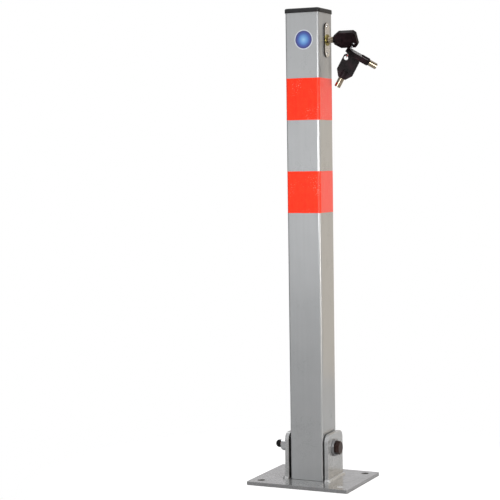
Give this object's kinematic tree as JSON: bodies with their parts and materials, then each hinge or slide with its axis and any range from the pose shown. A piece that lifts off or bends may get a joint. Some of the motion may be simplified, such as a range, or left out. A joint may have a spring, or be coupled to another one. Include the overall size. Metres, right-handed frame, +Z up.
{
  "type": "folding parking barrier",
  "caption": "Fold-down square steel parking post on a bolted base plate, with red reflective bands, a key lock near the top and a sliding lock bar inside.",
  "frame": {"origin": "centre of the base plate's underside", "axes": "+Z up along the standing post, -Y the front face with the sticker, +X the side with the lock"},
  "size_m": [0.1691, 0.126, 0.664],
  "materials": {
    "post_paint": "silver-grey enamel, satin, slightly metallic",
    "base_paint": "silver-grey enamel, satin",
    "weld_paint": "rippled weld bead under silver-grey enamel",
    "black_bolt": "black oxide, slightly worn",
    "spacer_steel": "grey painted steel",
    "zinc_steel": "bright zinc plating",
    "black_cap": "glossy black plastic",
    "washer_nylon": "dark nylon",
    "bare_steel": "bare drawn steel",
    "black_plastic": "black moulded plastic, fine grain",
    "red_tape": "red reflective tape with small creases",
    "sticker": "plain round blue sticker with a pale rim",
    "lock_nickel": "satin nickel plating",
    "lock_brass": "brass, slightly tarnished",
    "key_nickel": "polished nickel plating",
    "key_plastic": "black moulded plastic, satin",
    "ring_steel": "polished spring steel"
  },
  "bodies": {
    "base": {"base_plate": "base_paint", "left_ear": "base_paint", "right_ear": "base_paint", "left_ear_weld": "weld_paint", "right_ear_weld": "weld_paint", "pivot_bolt": "black_bolt", "head_spacer": "spacer_steel", "flat_washer": "zinc_steel", "spring_washer": "zinc_steel", "pivot_nut": "zinc_steel", "bolt_end_cap": "black_cap", "side_washers": "washer_nylon"},
    "post": {"post_tube": "post_paint", "pivot_sleeve": "bare_steel", "end_cap": "black_plastic", "upper_band": "red_tape", "lower_band": "red_tape", "front_sticker": "sticker", "lock_plate": "lock_nickel", "plate_rivets": "lock_nickel", "lock_housing": "lock_brass", "upper_guide": "bare_steel", "lower_guide": "bare_steel"},
    "lock_plug": {"lock_plug": "lock_brass", "lock_cam": "zinc_steel", "cam_screw": "zinc_steel"},
    "lock_bar": {"lock_bar": "bare_steel"},
    "key": {"key_barrel": "key_nickel", "key_head": "key_plastic"},
    "key_ring": {"key_ring": "ring_steel"},
    "spare_key_a": {"spare_key_a_barrel": "key_nickel", "spare_key_a_head": "key_plastic"},
    "spare_key_b": {"spare_key_b_barrel": "key_nickel", "spare_key_b_head": "key_plastic"}
  },
  "joints": [
    {"name": "post_fold", "type": "hinge", "parent": "base", "child": "post", "pos_m": [0, -0.003, 0.05], "axis": [-1, 0, 0], "range_deg": [0, 91.9]},
    {"name": "lock_turn", "type": "hinge", "parent": "post", "child": "lock_plug", "pos_m": [0.014, 0.003, 0.6205], "axis": [1, 0, 0], "range_deg": [0, 90]},
    {"name": "bar_slide", "type": "slide", "parent": "post", "child": "lock_bar", "axis": [0, 0, 1], "range_m": [-0.0092, 0]},
    {"name": "key_pull", "type": "slide", "parent": "lock_plug", "child": "key", "axis": [1, 0, 0], "range_m": [0, 0.006]},
    {"name": "ring_swing", "type": "hinge", "parent": "key", "child": "key_ring", "pos_m": [0.06375, 0.00795, 0.6136], "axis": [-0.0269, 0.8266, 0.5622], "range_deg": [-10, 5]},
    {"name": "spare_a_swing", "type": "hinge", "parent": "key_ring", "child": "spare_key_a", "pos_m": [0.05141, 0.01226, 0.59642], "axis": [0.3324, -0.9331, -0.1368], "range_deg": [-5, 3]},
    {"name": "spare_b_swing", "type": "hinge", "parent": "key_ring", "child": "spare_key_b", "pos_m": [0.06045, 0.00237, 0.60406], "axis": [0.5178, 0.0029, 0.8555], "range_deg": [-12, 12]}
  ],
  "couplings": [
    {"joint": "lock_turn", "follows": "bar_slide", "rad_per_m": -170.2}
  ]
}
